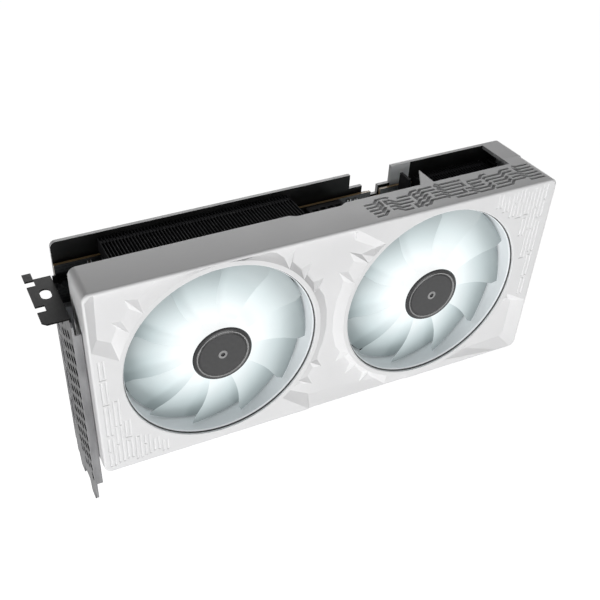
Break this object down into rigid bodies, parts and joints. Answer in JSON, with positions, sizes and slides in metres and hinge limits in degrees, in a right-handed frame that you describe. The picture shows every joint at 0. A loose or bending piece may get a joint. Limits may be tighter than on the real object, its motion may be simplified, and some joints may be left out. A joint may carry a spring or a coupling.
{
  "type": "graphics card",
  "caption": "Two-slot graphics card with twin axial fans behind a white relief shroud, finned heat-pipe cooler, metal backplate and I/O bracket.",
  "frame": {"origin": "slot datum: centre line of the key notch, middle of the board thickness, bottom of the contact tongue", "axes": "+X along the card away from the I/O bracket, +Y from the fans towards the backplate, +Z from the slot edge up to the power socket edge"},
  "size_m": [0.2607, 0.0513, 0.1386],
  "materials": {
    "white_shell": "satin white paint",
    "white_plastic": "satin white moulding with fine relief",
    "bracket_steel": "black nickel plate, satin",
    "board_laminate": "black solder mask over glass laminate, golden at the cut edge",
    "contact_gold": "bright gold plate",
    "substrate": "green laminate",
    "silicon": "polished silicon",
    "chip_black": "moulded epoxy",
    "thermal_pad": "soft grey putty pad",
    "inductor": "pressed iron powder block",
    "can_aluminium": "drawn aluminium can",
    "connector_black": "black glass-filled nylon",
    "terminal": "tinned brass",
    "nickel_copper": "nickel-plated copper",
    "pipe_copper": "nickel-plated copper pipe",
    "fin_black": "black-coated aluminium sheet",
    "plate_aluminium": "milled aluminium",
    "spring_steel": "spring steel sheet",
    "film": "black insulating film",
    "screw_black": "black zinc plate",
    "port_shell": "nickel-plated steel shell",
    "fan_translucent": "frosted translucent white",
    "hub_label": "dark spun disc",
    "magnet": "bonded ferrite",
    "shaft_steel": "ground steel",
    "bearing_bronze": "sintered bronze",
    "stator_copper": "enamelled winding on laminated core",
    "fan_board": "white solder mask",
    "led_lamp": "clear lamp body, lit white",
    "cable_black": "black sleeved lead",
    "header_white": "white nylon header",
    "standoff_brass": "turned brass"
  },
  "bodies": {
    "card": {"backplate": "white_shell", "backplate_pads": "thermal_pad", "backplate_screws": "screw_black", "board_standoffs": "standoff_brass", "bracket_screws": "screw_black", "capacitors": "can_aluminium", "cold_plate": "nickel_copper", "displayport_1": "port_shell", "displayport_2": "port_shell", "displayport_3": "port_shell", "edge_contacts": "contact_gold", "fan_screws": "screw_black", "fin_stack_left": "fin_black", "fin_stack_middle": "fin_black", "fin_stack_right": "fin_black", "front_shroud": "white_plastic", "gpu_die": "silicon", "gpu_substrate": "substrate", "hdmi_port": "port_shell", "heat_pipe_1": "pipe_copper", "heat_pipe_2": "pipe_copper", "heat_pipe_3": "pipe_copper", "heat_pipe_4": "pipe_copper", "io_bracket": "bracket_steel", "left_fan_bearing": "bearing_bronze", "left_fan_board": "fan_board", "left_fan_cable": "cable_black", "left_fan_frame": "connector_black", "left_fan_header": "header_white", "left_fan_leds": "led_lamp", "left_fan_stator": "stator_copper", "memory_chips": "chip_black", "memory_thermal_pads": "thermal_pad", "pcb": "board_laminate", "port_insulators": "connector_black", "power_connector": "connector_black", "power_connector_pins": "terminal", "power_inductors": "inductor", "power_stage_pads": "thermal_pad", "power_stage_plate": "plate_aluminium", "power_stages": "chip_black", "retention_bracket": "spring_steel", "retention_film": "film", "retention_screws": "screw_black", "right_fan_bearing": "bearing_bronze", "right_fan_board": "fan_board", "right_fan_cable": "cable_black", "right_fan_frame": "connector_black", "right_fan_header": "header_white", "right_fan_leds": "led_lamp", "right_fan_stator": "stator_copper"},
    "left_fan": {"left_fan_rotor": "fan_translucent", "left_fan_hub_cap": "hub_label", "left_fan_magnet": "magnet", "left_fan_shaft": "shaft_steel"},
    "right_fan": {"right_fan_rotor": "fan_translucent", "right_fan_hub_cap": "hub_label", "right_fan_magnet": "magnet", "right_fan_shaft": "shaft_steel"}
  },
  "joints": [
    {"name": "left_fan_spin", "type": "hinge", "parent": "card", "child": "left_fan", "pos_m": [0.01035, -0.035, 0.07675], "axis": [0, 1, 0], "continuous": true},
    {"name": "right_fan_spin", "type": "hinge", "parent": "card", "child": "right_fan", "pos_m": [0.12675, -0.035, 0.07675], "axis": [0, 1, 0], "continuous": true}
  ]
}
